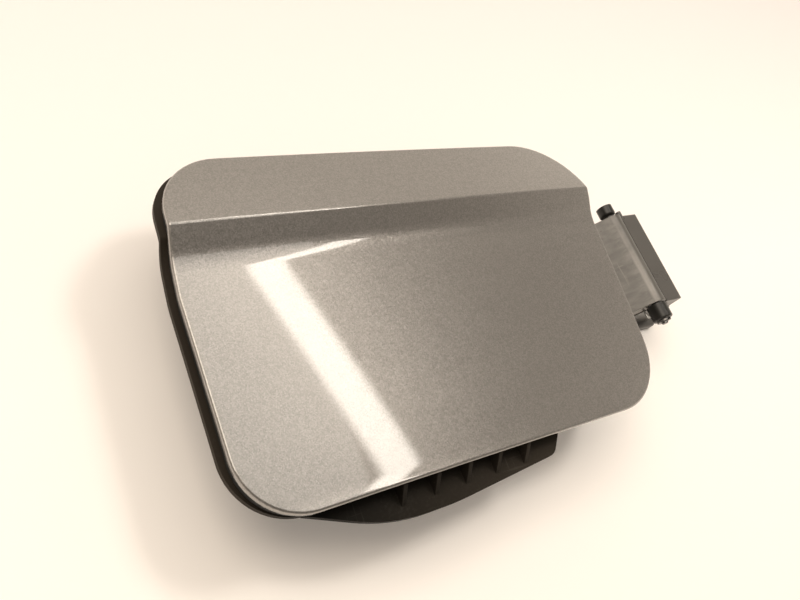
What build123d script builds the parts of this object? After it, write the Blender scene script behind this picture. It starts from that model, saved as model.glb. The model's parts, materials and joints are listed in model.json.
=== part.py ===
from build123d import *
from math import asin, atan2, cos, degrees, radians, sin, sqrt, tan
import os

os.makedirs("parts", exist_ok=True)

# A car fuel door lying face up as it is mounted: +Z out of the car, +Y up the car's side along the hinge,
# +X from the free edge to the hinge. The origin is between the two screws of the hinge base, on its foot.

# Outline of the painted panel, heights measured from the middle of the hinge
panel_width = 191.0
panel_rise = 58.3
panel_drop = 66.8
right_lean = 6.6
left_lean = 4.9
left_bend_height = 8.0
left_bend_radius = 60.0
top_left_radius = 22.3
top_right_radius = 31.2
bottom_right_radius = 28.7
bottom_left_radius = 22.2

# Form of the painted face: crowned both ways, with a shoulder crease above a hollow band
face_height = 40.0
crown_radius = 5650.0
belly_radius = 3040.0
crease_height = 31.4
crease_step = 5.1
crease_radius = 1.4
hollow_width = 10.8
brow_fall = 0.14

# Sheet of the panel
skin_thickness = 1.2
hem_depth = 2.2

# Carrier moulding behind the panel, depths measured from the painted face
bond_gap = 0.25
web_thickness = 2.2
wall_inset = 4.6
wall_thickness = 2.0
rim_depth = 8.8
rim_thickness = 2.4
rim_overhang = 0.5
rim_lift = 2.0
rib_thickness = 1.6
rib_depth = 5.6
rib_columns = 5
rib_rows = 3
boss_radius = 5.0
seat_depth = 14.0

# Apron below the bottom edge and its gussets
apron_start = 19.8
apron_length = 108.0
apron_reach = 10.0
apron_tail = 5.9
apron_shoulder = 28.0
apron_peak = 55.0
apron_nose = 6.0
apron_sweep = 70.0
apron_belly = 120.0
gusset_first = 33.7
gusset_pitch = 13.4
gusset_count = 5
gusset_thickness = 1.6
gusset_reach = 6.4

# Rubber strip between hem and rim, left out along the gussets
seal_inset = 1.7
seal_width = 2.5
seal_height = 2.6
seal_clearance = 0.1

# Hinge axis and gooseneck arm
hinge_gap = 30.8
pivot_setback = 10.0
pivot_height = 24.8
arm_width = 46.8
plate_thickness = 1.8
arm_depth = 7.5
cheek_thickness = 3.4
hood_radius = 5.2
hood_end = 62.0
ramp_angle = 45.0
riser_rise = 14.0
trough_radius = 6.0
riser_foot_radius = 3.0
riser_reach = 36.0
riser_radius = 8.5
root_length = 42.0
arm_rib_thickness = 2.4

# Base that is fastened to the car
column_thickness = 11.2
column_height = 27.8
column_reach = 6.2
column_round = 0.8
brace_reach = 17.5
foot_reach = 18.0
foot_front = 12.0
foot_overhang = 3.4
foot_round = 1.6
foot_thickness = 4.0
knuckle_radius = 3.0
knuckle_web = 4.6
turning_gap = 0.4
bolt_spacing = 32.0
insert_radius = 3.6
insert_length = 9.0
thread_radius = 2.5
base_end = 0.4
peg_radius = 1.4
peg_length = 2.4
peg_inset = 0.9
post_radius = 2.2
post_inset = 1.9
anchor_length = 3.0

# Pin and the small pieces on it
pin_radius = 1.5
running_clearance = 0.05
end_float = 0.1
bush_wall = 0.8
washer_radius = 2.9
washer_thickness = 0.8
cap_radius = 3.9
cap_length = 6.8
cap_neck_radius = 2.6
cap_neck_length = 1.6
cap_wall = 1.4
cap_round = 1.2
head_radius = 4.7
head_length = 3.0
head_round = 0.8
core_radius = 2.5
core_length = 4.6
cup_wall = 0.8
cup_slot = 1.3
cup_window_start = 282.0
cup_window_arc = 146.0
wire_radius = 0.5
coil_radius = 3.2
coil_turns = 2.125
cheek_end_radius = 5.9
coil_clearance = 0.2
leg_length = 12.5
leg_room = 0.8
leg_clearance = 0.1
clip_radius = 3.3
clip_thickness = 0.8
clip_slot = 2.0
groove_depth = 0.5
pin_end = 1.0

# Screws with their inserts
screw_radius = 1.7
screw_clearance = 0.05
shank_clearance = 0.55
screw_head_radius = 3.8
screw_head_height = 2.4
screw_end_gap = 1.0
socket_width = 2.5
socket_depth = 1.3
boss_insert_wall = 1.2
insert_cover = 3.6
arm_screw_spacing_x = 20.0
arm_screw_spacing_y = 32.0
arm_screw_inset = 13.5

# Striker loop and buffers at the free edge
striker_inset = 18.0
striker_length = 33.0
striker_width = 13.0
striker_plate = 3.0
striker_screw_spacing = 23.5
loop_width = 14.0
loop_thickness = 5.0
loop_wall = 3.4
loop_eye_height = 9.0
loop_round = 3.0
buffer_inset = 16.0
buffer_high = 28.0
buffer_low = 44.0
buffer_radius = 4.0
buffer_height = 3.2
buffer_stem_radius = 1.8
buffer_stem_length = 5.0
buffer_clearance = 0.05

# Places worked out from the sizes above
pivot_x = -pivot_setback
right_x = pivot_x - hinge_gap
left_x = right_x - panel_width
middle_x = (left_x + right_x) / 2
top_right_x = right_x + panel_rise * tan(radians(right_lean))
bottom_right_x = right_x - panel_drop * tan(radians(right_lean))
top_left_x = left_x + (panel_rise - left_bend_height) * tan(radians(left_lean))
rim_y = -panel_drop - rim_overhang + rim_lift
apron_left = left_x + apron_start
apron_right = apron_left + apron_length
crown_center_height = face_height - crown_radius
face_margin = apron_reach + panel_width / 10
crown_half_arc = degrees(asin((panel_width / 2 + face_margin) / crown_radius))
heel_y = crease_height - hollow_width
seat_height = face_height - seat_depth
trough_height = seat_height - riser_rise
half_arm = arm_width / 2
half_base = half_arm + base_end
cheek_inside = half_arm - cheek_thickness
web_front = skin_thickness + bond_gap
web_back = web_front + web_thickness
rim_back = rim_depth + rim_thickness
hole_radius = pin_radius + running_clearance
bush_radius = hole_radius + bush_wall
insert_bore = screw_radius + screw_clearance
boss_insert_radius = insert_bore + boss_insert_wall
boss_insert_length = seat_depth - web_front - web_thickness / 2 - insert_cover
screw_bite = boss_insert_length - screw_end_gap
shank_hole = screw_radius + shank_clearance
riser_x = pivot_x - riser_reach
root_end = riser_x - root_length
arm_screw_x = riser_x - arm_screw_inset - arm_screw_spacing_x / 2
striker_x = left_x + striker_inset
buffer_x = left_x + buffer_inset
leg_height = pivot_height - coil_radius
post_x = pivot_x + leg_length - post_inset
post_height = leg_height - wire_radius - post_radius
spool_inside = -half_base - end_float
head_inside = spool_inside - core_length
cup_inside = head_radius - cup_wall
cup_window_depth = leg_room + 2 * (wire_radius + coil_clearance)
spool_outside = head_inside - head_length
clip_inside = spool_outside - end_float
pin_low = clip_inside - clip_thickness - 2 * end_float - pin_end
cap_inside = half_arm + end_float
pin_high = cap_inside + cap_length - cap_wall
crown_axis = Axis((middle_x, 0, crown_center_height), (0, 1, 0))
pivot_axis = Axis((pivot_x, 0, pivot_height), (0, 1, 0))
crown_plane = Plane(
    origin=(middle_x, 0, crown_center_height),
    x_dir=(0, 1, 0),
    z_dir=(cos(radians(crown_half_arc)), 0, sin(radians(crown_half_arc))),
)


def sag(distance, radius):
    """How far a round surface falls away over a distance."""
    return radius - sqrt(radius**2 - distance**2)


def face_z(x, y, depth):
    """Height of the main face, or of a surface at a depth behind it."""
    radius = crown_radius - sag(heel_y - y, belly_radius) - depth
    return crown_center_height + sqrt(radius**2 - (x - middle_x) ** 2)


def face_line(depth):
    """Section of the face from below the bottom edge to above the top edge, set back by a depth."""
    level = crown_radius - depth
    low_y = -panel_drop - face_margin
    half_y = (low_y + heel_y) / 2
    high_y = panel_rise + face_margin
    foot = (low_y, level - sag(heel_y - low_y, belly_radius))
    belly = (half_y, level - sag(heel_y - half_y, belly_radius))
    heel = (heel_y, level)
    crest = (crease_height, level + crease_step)
    brow = (high_y, level + crease_step - brow_fall * (high_y - crease_height))
    ThreePointArc(foot, belly, heel)
    TangentArc(heel, crest, tangent=(1, 0))
    Line(crest, brow)
    return foot, brow


def face_layer(front, back):
    """The crowned layer between two depths behind the painted face."""
    with BuildPart() as layer:
        with BuildSketch(crown_plane) as section:
            with BuildLine():
                front_foot, front_brow = face_line(front)
                back_foot, back_brow = face_line(back)
                Line(front_foot, back_foot)
                Line(front_brow, back_brow)
            make_face()
            crests = section.vertices().filter_by_position(
                Axis.X, crease_height - bond_gap, crease_height + bond_gap
            )
            fillet(crests, crease_radius)
        revolve(axis=crown_axis, revolution_arc=2 * crown_half_arc)
    return layer.part


def door_outline(inset):
    """The panel's outline, drawn in by an inset; a negative inset draws it out."""
    with BuildSketch() as outline:
        with BuildLine():
            FilletPolyline(
                (left_x, -panel_drop),
                (bottom_right_x, -panel_drop),
                (top_right_x, panel_rise),
                (top_left_x, panel_rise),
                (left_x, left_bend_height),
                radius=(
                    bottom_left_radius,
                    bottom_right_radius,
                    top_right_radius,
                    top_left_radius,
                    left_bend_radius,
                ),
                close=True,
            )
        make_face()
        if inset:
            offset(amount=-inset, mode=Mode.REPLACE)
    return outline.sketch


def edge_ring(outer_inset, inner_inset):
    """A band along the outline, between two insets."""
    outer = door_outline(outer_inset)
    inner = door_outline(inner_inset)
    with BuildSketch() as ring:
        add(outer)
        add(inner, mode=Mode.SUBTRACT)
    return ring.sketch


def apron_region():
    """The lobe that reaches below the bottom edge."""
    root_y = -panel_drop + wall_inset + wall_thickness / 2
    with BuildSketch() as lobe:
        with BuildLine():
            edge = FilletPolyline(
                (apron_left, rim_y),
                (apron_left + apron_shoulder, -panel_drop - apron_reach),
                (apron_left + apron_peak, -panel_drop - apron_reach),
                (apron_right - apron_nose, -panel_drop - apron_tail),
                (apron_right, rim_y),
                radius=(apron_sweep, apron_belly, apron_nose),
            )
            Polyline(edge @ 1, (apron_right, root_y), (apron_left, root_y), edge @ 0)
        make_face()
    return lobe.sketch


def face_slab(region, front, back):
    """A region of the door cut out of the layer between two depths."""
    layer = face_layer(front, back)
    with BuildPart() as slab:
        with BuildSketch():
            add(region)
        extrude(amount=2 * face_height)
        add(layer, mode=Mode.INTERSECT)
    return slab.part


def arm_line(setback):
    """Side view of the arm from the pivot to its root, set back from the face that looks outwards."""
    slope = radians(ramp_angle)
    reach = hood_radius - setback
    start = (pivot_x - reach * sin(slope), pivot_height + reach * cos(slope))
    low = trough_height - setback
    ramp_foot = (start[0] - (start[1] - low) / tan(slope), low)
    riser_foot = (riser_x - setback, low)
    riser_top = (riser_x - setback, seat_height - setback)
    root = (root_end, seat_height - setback)
    FilletPolyline(
        start,
        ramp_foot,
        riser_foot,
        riser_top,
        root,
        radius=(trough_radius + setback, riser_foot_radius + setback, riser_radius - setback),
    )
    return start, root


def arm_section(front, back):
    """The strip of the arm's side view between two setbacks."""
    with BuildSketch(Plane.XZ) as strip:
        with BuildLine():
            front_start, front_root = arm_line(front)
            back_start, back_root = arm_line(back)
            Line(front_start, back_start)
            Line(front_root, back_root)
        make_face()
    return strip.sketch


def boss_places():
    """Where screws go into the carrier: four for the arm and two for the striker."""
    arm_places = [
        (arm_screw_x + i * arm_screw_spacing_x / 2, j * arm_screw_spacing_y / 2) for i in (-1, 1) for j in (-1, 1)
    ]
    striker_places = [(striker_x, j * striker_screw_spacing / 2) for j in (-1, 1)]
    return arm_places, striker_places


arm_places, striker_places = boss_places()
buffer_places = [(buffer_x, buffer_high), (buffer_x, -buffer_low)]

# Painted panel: a pressed skin whose edge is turned down all round
panel_skin = face_slab(door_outline(0), 0, skin_thickness)
panel_hem = face_slab(edge_ring(0, skin_thickness), 0, hem_depth)

with BuildPart() as outer_panel:
    add(panel_skin)
    add(panel_hem)

outer_panel.part.label = "outer_panel"
export_step(outer_panel.part, "parts/outer_panel.step")

# Carrier: web under the skin, perimeter wall, rim with the apron, ribs and bosses
rim_cut = door_outline(wall_inset + wall_thickness / 2)
apron = apron_region()
rim_outline = door_outline(-rim_overhang).moved(Location((0, rim_lift, 0)))

with BuildSketch() as rim_region:
    add(rim_outline)
    add(apron)
    add(rim_cut, mode=Mode.SUBTRACT)

wall_middle = door_outline(wall_inset + wall_thickness / 2)
rib_span_x = panel_width - 2 * wall_inset
rib_span_y = panel_rise + panel_drop - 2 * wall_inset
with BuildSketch() as rib_region:
    with Locations((middle_x, (panel_rise - panel_drop) / 2)):
        with GridLocations(rib_span_x / (rib_columns + 1), 0, rib_columns, 1):
            Rectangle(rib_thickness, rib_span_y)
        with GridLocations(0, rib_span_y / (rib_rows + 1), 1, rib_rows):
            Rectangle(rib_span_x, rib_thickness)
    add(wall_middle, mode=Mode.INTERSECT)

carrier_web = face_slab(door_outline(skin_thickness + bond_gap), web_front, web_back)
carrier_wall = face_slab(edge_ring(wall_inset, wall_inset + wall_thickness), web_back - wall_thickness / 2, rim_back)
carrier_rim = face_slab(rim_region.sketch, rim_depth, rim_back)
carrier_ribs = face_slab(rib_region.sketch, web_back - rib_thickness / 2, rib_depth)
behind_skin = face_layer(web_back - wall_thickness / 2, face_height)

with BuildPart() as carrier_bosses:
    with BuildSketch(Plane.XY.offset(seat_height)):
        with Locations(*arm_places, *striker_places, *buffer_places):
            Circle(boss_radius)
    extrude(amount=face_height)
    add(behind_skin, mode=Mode.INTERSECT)

with BuildPart() as inner_carrier:
    add(carrier_web)
    add(carrier_wall)
    add(carrier_rim)
    add(carrier_ribs)
    add(carrier_bosses.part)
    for i in range(gusset_count):
        gusset_x = apron_left + gusset_first + i * gusset_pitch
        wall_y = -panel_drop + wall_inset + wall_thickness / 2
        foot_z = face_z(gusset_x, -panel_drop, rim_depth + rim_thickness / 2)
        top_z = face_z(gusset_x, -panel_drop, hem_depth + bond_gap)
        with BuildSketch(Plane.YZ.offset(gusset_x)):
            with BuildLine():
                Polyline(
                    (wall_y, foot_z),
                    (-panel_drop - gusset_reach, foot_z),
                    (-panel_drop, top_z),
                    (wall_y, top_z),
                    close=True,
                )
            make_face()
        extrude(amount=gusset_thickness / 2, both=True)
    with BuildSketch(Plane.XY.offset(seat_height)):
        with Locations(*arm_places, *striker_places):
            Circle(boss_insert_radius + screw_clearance)
    extrude(amount=boss_insert_length, mode=Mode.SUBTRACT)
    with BuildSketch(Plane.XY.offset(seat_height)):
        with Locations(*buffer_places):
            Circle(buffer_stem_radius + buffer_clearance)
    extrude(amount=buffer_stem_length + buffer_clearance, mode=Mode.SUBTRACT)

inner_carrier.part.label = "inner_carrier"
export_step(inner_carrier.part, "parts/inner_carrier.step")

# Rubber strip that lies on the rim, with a gap where the gussets stand
strip_ring = edge_ring(seal_inset, seal_inset + seal_width)
with BuildSketch() as strip_region:
    add(strip_ring)
    with Locations((apron_left + apron_length / 2, -panel_drop)):
        Rectangle(apron_length, 2 * bottom_left_radius, mode=Mode.SUBTRACT)

strip_front = rim_depth - seal_clearance - seal_height
seal_strip = face_slab(strip_region.sketch, strip_front, rim_depth - seal_clearance)

with BuildPart() as edge_seal:
    add(seal_strip)

edge_seal.part.label = "edge_seal"
export_step(edge_seal.part, "parts/edge_seal.step")

# Rubber buffers pushed into their bosses
with BuildPart() as bump_stops:
    with BuildSketch(Plane.XY.offset(seat_height)):
        with Locations(*buffer_places):
            Circle(buffer_radius)
    extrude(amount=-buffer_height)
    fillet(bump_stops.faces().sort_by(Axis.Z)[:2].edges(), buffer_height / 3)
    with BuildSketch(Plane.XY.offset(seat_height)):
        with Locations(*buffer_places):
            Circle(buffer_stem_radius)
    extrude(amount=buffer_stem_length)

bump_stops.part.label = "bump_stops"
export_step(bump_stops.part, "parts/bump_stops.step")

# Gooseneck arm: an outward plate between two side walls, with a hood and two cheeks round the pivot
plate_strip = arm_section(0, plate_thickness)
side_strip = arm_section(0, arm_depth)
rib_strip = arm_section(plate_thickness / 2, arm_depth)
hood_inside = hood_radius - plate_thickness
hood_arc = 90 + ramp_angle - hood_end
spring_hole = (
    pivot_x - cheek_end_radius * cos(radians(ramp_angle)),
    pivot_height - cheek_end_radius * sin(radians(ramp_angle)),
)

with BuildPart() as hinge_arm:
    with BuildSketch(Plane.XZ):
        add(plate_strip)
        with BuildLine():
            outer_hood = CenterArc((pivot_x, pivot_height), hood_radius, hood_end, hood_arc)
            inner_hood = CenterArc((pivot_x, pivot_height), hood_inside, hood_end, hood_arc)
            Line(outer_hood @ 0, inner_hood @ 0)
            Line(outer_hood @ 1, inner_hood @ 1)
        make_face()
    extrude(amount=cheek_inside, both=True)
    for side_plane in (Plane.XZ.offset(-half_arm), Plane.XZ.offset(cheek_inside)):
        with BuildSketch(side_plane):
            add(side_strip)
            with Locations((pivot_x, pivot_height)):
                Circle(hood_radius)
                Circle(bush_radius + screw_clearance, mode=Mode.SUBTRACT)
        extrude(amount=cheek_thickness)
    with BuildSketch(Plane.XZ.offset(-arm_rib_thickness / 2)):
        add(rib_strip)
        with Locations((pivot_x, pivot_height)):
            Rectangle(4 * hood_radius, 4 * hood_radius, mode=Mode.SUBTRACT)
    extrude(amount=arm_rib_thickness)
    with BuildSketch(Plane.XZ.offset(half_arm)):
        with Locations(spring_hole):
            Circle(wire_radius + leg_clearance)
    extrude(amount=-cheek_thickness, mode=Mode.SUBTRACT)
    with BuildSketch(Plane.XY.offset(seat_height)):
        with Locations(*arm_places):
            Circle(shank_hole)
    extrude(amount=-arm_depth, mode=Mode.SUBTRACT)

hinge_arm.part.label = "hinge_arm"
export_step(hinge_arm.part, "parts/hinge_arm.step")

# Base: a column with a rounded recess for the hood, braces under the arm's cheeks, a flange and a knuckle
knuckle_half = cheek_inside - washer_thickness - 2 * end_float
column_x = column_reach - column_thickness / 2
brace_width = brace_reach + column_x
brace_thickness = half_base - cheek_inside
brace_drop = arm_depth + turning_gap - hood_radius
brace_edge = Location(
    (pivot_x + brace_drop * sin(radians(ramp_angle)), pivot_height - brace_drop * cos(radians(ramp_angle)), 0),
    (0, 0, ramp_angle),
)
peg_x = column_reach - column_thickness + peg_inset
peg_height = column_height - peg_radius

with BuildPart() as hinge_base:
    with BuildSketch():
        with Locations(((foot_front - foot_reach) / 2, 0)):
            RectangleRounded(foot_reach + foot_front, 2 * (half_base + foot_overhang), foot_overhang)
    extrude(amount=foot_thickness)
    fillet(hinge_base.faces().sort_by(Axis.Z)[-1].edges(), foot_round)
    with BuildSketch():
        with Locations((column_x, 0)):
            Rectangle(column_thickness, 2 * half_base)
    extrude(amount=column_height)
    top_edges = hinge_base.faces().sort_by(Axis.Z)[-1].edges()
    fillet(top_edges.filter_by(Axis.X) + top_edges.sort_by(Axis.X)[-1:], column_round)
    for brace_plane in (Plane.XZ.offset(-half_base), Plane.XZ.offset(cheek_inside)):
        with BuildSketch(brace_plane):
            with Locations(((column_x - brace_reach) / 2, pivot_height / 2)):
                Rectangle(brace_width, pivot_height)
            with Locations(brace_edge):
                Rectangle(8 * arm_depth, 4 * arm_depth, align=(Align.CENTER, Align.MIN), mode=Mode.SUBTRACT)
        extrude(amount=brace_thickness)
    with BuildSketch(Plane.XZ):
        with Locations((pivot_x, pivot_height)):
            Circle(hood_radius + turning_gap)
    extrude(amount=half_base, both=True, mode=Mode.SUBTRACT)
    with BuildSketch(Plane.XZ):
        with Locations((pivot_x, pivot_height)):
            Circle(knuckle_radius)
        with Locations((pivot_x, pivot_height / 2)):
            Rectangle(knuckle_web, pivot_height)
    extrude(amount=knuckle_half, both=True)
    with BuildSketch(Plane.XZ.offset(-half_base)):
        with Locations((peg_x, peg_height)):
            Circle(peg_radius)
    extrude(amount=-peg_length)
    with BuildSketch(Plane.XZ.offset(half_base)):
        with Locations((post_x, post_height)):
            Circle(post_radius)
    extrude(amount=anchor_length)
    with BuildSketch(Plane.XZ):
        with Locations((pivot_x, pivot_height)):
            Circle(hole_radius)
    extrude(amount=half_base, both=True, mode=Mode.SUBTRACT)
    with BuildSketch():
        with GridLocations(0, bolt_spacing, 1, 2):
            Circle(insert_radius + screw_clearance)
    extrude(amount=insert_length, mode=Mode.SUBTRACT)

hinge_base.part.label = "hinge_base"
export_step(hinge_base.part, "parts/hinge_base.step")

# Threaded inserts of the base
with BuildPart() as base_inserts:
    with BuildSketch():
        with GridLocations(0, bolt_spacing, 1, 2):
            Circle(insert_radius)
            Circle(thread_radius, mode=Mode.SUBTRACT)
    extrude(amount=insert_length)

base_inserts.part.label = "base_inserts"
export_step(base_inserts.part, "parts/base_inserts.step")

# Hinge pin with the groove for its clip
with BuildPart() as hinge_pin:
    with BuildSketch(Plane.XZ.offset(-pin_high)):
        with Locations((pivot_x, pivot_height)):
            Circle(pin_radius)
    extrude(amount=pin_high - pin_low)
    chamfer(hinge_pin.edges().filter_by(GeomType.CIRCLE), pin_radius / 5)
    with BuildSketch(Plane.XZ.offset(-clip_inside)):
        with Locations((pivot_x, pivot_height)):
            Circle(2 * pin_radius)
            Circle(pin_radius - groove_depth, mode=Mode.SUBTRACT)
    extrude(amount=clip_thickness + 2 * end_float, mode=Mode.SUBTRACT)

hinge_pin.part.label = "hinge_pin"
export_step(hinge_pin.part, "parts/hinge_pin.step")

# Plastic bushes in the cheeks
with BuildPart() as pivot_bushes:
    for bush_plane in (Plane.XZ.offset(-half_arm), Plane.XZ.offset(cheek_inside)):
        with BuildSketch(bush_plane):
            with Locations((pivot_x, pivot_height)):
                Circle(bush_radius)
                Circle(hole_radius, mode=Mode.SUBTRACT)
        extrude(amount=cheek_thickness)

pivot_bushes.part.label = "pivot_bushes"
export_step(pivot_bushes.part, "parts/pivot_bushes.step")

# Washers between the knuckle and the cheeks
with BuildPart() as thrust_washers:
    for washer_plane in (
        Plane.XZ.offset(-cheek_inside + end_float),
        Plane.XZ.offset(cheek_inside - end_float - washer_thickness),
    ):
        with BuildSketch(washer_plane):
            with Locations((pivot_x, pivot_height)):
                Circle(washer_radius)
                Circle(hole_radius, mode=Mode.SUBTRACT)
        extrude(amount=washer_thickness)

thrust_washers.part.label = "thrust_washers"
export_step(thrust_washers.part, "parts/thrust_washers.step")

# Cap on the upper end of the pin: a necked knob with a rounded end
cap_plane = Plane(origin=(pivot_x, cap_inside, pivot_height), x_dir=(1, 0, 0), z_dir=(0, 0, 1))
with BuildPart() as pin_cap:
    with BuildSketch(cap_plane):
        with BuildLine():
            FilletPolyline(
                (hole_radius, 0),
                (cap_neck_radius, 0),
                (cap_neck_radius, cap_neck_length),
                (cap_radius, cap_neck_length),
                (cap_radius, cap_length),
                (0, cap_length),
                (0, cap_length - cap_wall + end_float),
                (hole_radius, cap_length - cap_wall + end_float),
                radius=(0, 0, cap_round / 4, cap_round, 0, 0, 0, 0),
                close=True,
            )
        make_face()
    revolve(axis=pivot_axis)

pin_cap.part.label = "pin_cap"
export_step(pin_cap.part, "parts/pin_cap.step")

# Spool that carries the spring: a cup with a core, a slot for the end that goes to the arm and a window for the leg
spool_length = head_length + core_length
spool_plane = Plane(origin=(pivot_x, spool_outside, pivot_height), x_dir=(1, 0, 0), z_dir=(0, 0, 1))
with BuildPart() as spring_spool:
    with BuildSketch(spool_plane):
        with BuildLine():
            FilletPolyline(
                (hole_radius, 0),
                (head_radius, 0),
                (head_radius, spool_length),
                (cup_inside, spool_length),
                (cup_inside, head_length),
                (core_radius, head_length),
                (core_radius, spool_length),
                (hole_radius, spool_length),
                radius=(0, head_round, 0, 0, 0, 0, 0, 0),
                close=True,
            )
        make_face()
    revolve(axis=pivot_axis)
    with BuildSketch(Plane.XZ.offset(-spool_inside)):
        with Locations(Location((pivot_x, pivot_height, 0), (0, 0, 90 + ramp_angle))):
            with Locations((0, (cup_inside + head_radius) / 2)):
                Rectangle(cup_slot, 2 * cup_wall)
    extrude(amount=core_length, mode=Mode.SUBTRACT)
    with BuildSketch(Plane.XZ.offset(-spool_inside)):
        with BuildLine():
            outer_edge = CenterArc((pivot_x, pivot_height), 2 * head_radius, cup_window_start, cup_window_arc)
            inner_edge = CenterArc((pivot_x, pivot_height), core_radius, cup_window_start, cup_window_arc)
            Line(outer_edge @ 0, inner_edge @ 0)
            Line(outer_edge @ 1, inner_edge @ 1)
        make_face()
    extrude(amount=cup_window_depth, mode=Mode.SUBTRACT)

spring_spool.part.label = "spring_spool"
export_step(spring_spool.part, "parts/spring_spool.step")

# Torsion spring: a coil in the spool's cup, one end led into the arm's cheek and one leg on the base's post
coil_room = core_length - 2 * (wire_radius + coil_clearance) - leg_room
coil_start = head_inside + wire_radius + coil_clearance
with BuildLine() as coil_path:
    Helix(
        pitch=coil_room / coil_turns,
        height=coil_room,
        radius=coil_radius,
        center=(pivot_x, coil_start, pivot_height),
        direction=(0, 1, 0),
        lefthand=True,
    )
first_place = coil_path.wires()[0] @ 0
first_angle = degrees(atan2(first_place.Z - pivot_height, first_place.X - pivot_x))
coil_wire = coil_path.wires()[0].rotate(pivot_axis, first_angle - 180 - ramp_angle)
coil_end = coil_wire @ 0
leg_end = coil_wire @ 1
cheek_end = Vector(spring_hole[0], coil_start, spring_hole[1])

with BuildPart() as torsion_spring:
    with BuildSketch(Plane(origin=coil_end, z_dir=coil_wire % 0)):
        Circle(wire_radius)
    sweep(path=coil_wire)
    with Locations(coil_end, cheek_end):
        Sphere(wire_radius)
    with BuildSketch(Plane(origin=coil_end, z_dir=cheek_end - coil_end)):
        Circle(wire_radius)
    extrude(amount=cheek_end_radius - coil_radius)
    with BuildSketch(Plane(origin=cheek_end, z_dir=(0, 1, 0))):
        Circle(wire_radius)
    extrude(amount=-cheek_inside - coil_start)
    with BuildSketch(Plane(origin=leg_end, z_dir=coil_wire % 1)):
        Circle(wire_radius)
    extrude(amount=leg_length)

torsion_spring.part.label = "torsion_spring"
export_step(torsion_spring.part, "parts/torsion_spring.step")

# Open ring in the pin's groove
with BuildPart() as retaining_clip:
    with BuildSketch(Plane.XZ.offset(-clip_inside + end_float)):
        with Locations((pivot_x, pivot_height)):
            Circle(clip_radius)
            Circle(pin_radius - groove_depth + running_clearance, mode=Mode.SUBTRACT)
        with Locations((pivot_x, pivot_height + clip_radius)):
            Rectangle(clip_slot, 2 * clip_radius, mode=Mode.SUBTRACT)
    extrude(amount=clip_thickness)

retaining_clip.part.label = "retaining_clip"
export_step(retaining_clip.part, "parts/retaining_clip.step")

# Striker: a plate on two bosses with a loop that hangs down to the lock
with BuildPart() as latch_striker:
    with BuildSketch(Plane.XY.offset(seat_height)):
        with Locations((striker_x, 0)):
            RectangleRounded(striker_width, striker_length, loop_round)
    extrude(amount=-striker_plate)
    with BuildSketch(Plane.YZ.offset(striker_x)):
        with Locations((0, (seat_height - striker_plate) / 2)):
            Rectangle(loop_width, seat_height - striker_plate)
    extrude(amount=loop_thickness / 2, both=True)
    loop_corners = latch_striker.faces().sort_by(Axis.Z)[0].edges().filter_by(Axis.X)
    fillet(loop_corners, loop_round)
    with BuildSketch(Plane.YZ.offset(striker_x)):
        with Locations((0, loop_wall + loop_eye_height / 2)):
            RectangleRounded(loop_width - 2 * loop_wall, loop_eye_height, loop_round / 3)
    extrude(amount=loop_thickness, both=True, mode=Mode.SUBTRACT)
    with BuildSketch(Plane.XY.offset(seat_height)):
        with Locations(*striker_places):
            Circle(shank_hole)
    extrude(amount=-striker_plate, mode=Mode.SUBTRACT)

latch_striker.part.label = "latch_striker"
export_step(latch_striker.part, "parts/latch_striker.step")

# Threaded inserts in the carrier's bosses
with BuildPart() as boss_inserts:
    with BuildSketch(Plane.XY.offset(seat_height)):
        with Locations(*arm_places, *striker_places):
            Circle(boss_insert_radius)
            Circle(insert_bore, mode=Mode.SUBTRACT)
    extrude(amount=boss_insert_length)

boss_inserts.part.label = "boss_inserts"
export_step(boss_inserts.part, "parts/boss_inserts.step")


def screw_group(places, head_z):
    """Pan-head screws driven upwards, their heads below a seat."""
    with BuildPart() as group:
        with BuildSketch(Plane.XY.offset(head_z)):
            with Locations(*places):
                Circle(screw_head_radius)
        extrude(amount=-screw_head_height)
        fillet(group.faces().group_by(Axis.Z)[0].edges(), screw_head_height / 3)
        with BuildSketch(Plane.XY.offset(head_z)):
            with Locations(*places):
                Circle(screw_radius)
        extrude(amount=seat_height - head_z + screw_bite)
        with BuildSketch(Plane.XY.offset(head_z - screw_head_height)):
            with Locations(*places):
                RegularPolygon(socket_width / sqrt(3), 6)
        extrude(amount=socket_depth, mode=Mode.SUBTRACT)
    return group.part


# Screws of the arm and of the striker
arm_screw_group = screw_group(arm_places, seat_height - plate_thickness)
arm_screw_group.label = "arm_screws"
export_step(arm_screw_group, "parts/arm_screws.step")

striker_screw_group = screw_group(striker_places, seat_height - striker_plate)
striker_screw_group.label = "striker_screws"
export_step(striker_screw_group, "parts/striker_screws.step")
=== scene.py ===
import json
from math import acos, asin, atan, atan2, cos, hypot, pi, radians, sin, sqrt, tan

import bmesh
import bpy
from bpy.props import FloatProperty, FloatVectorProperty, IntProperty, PointerProperty
from mathutils import Matrix, Vector


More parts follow.
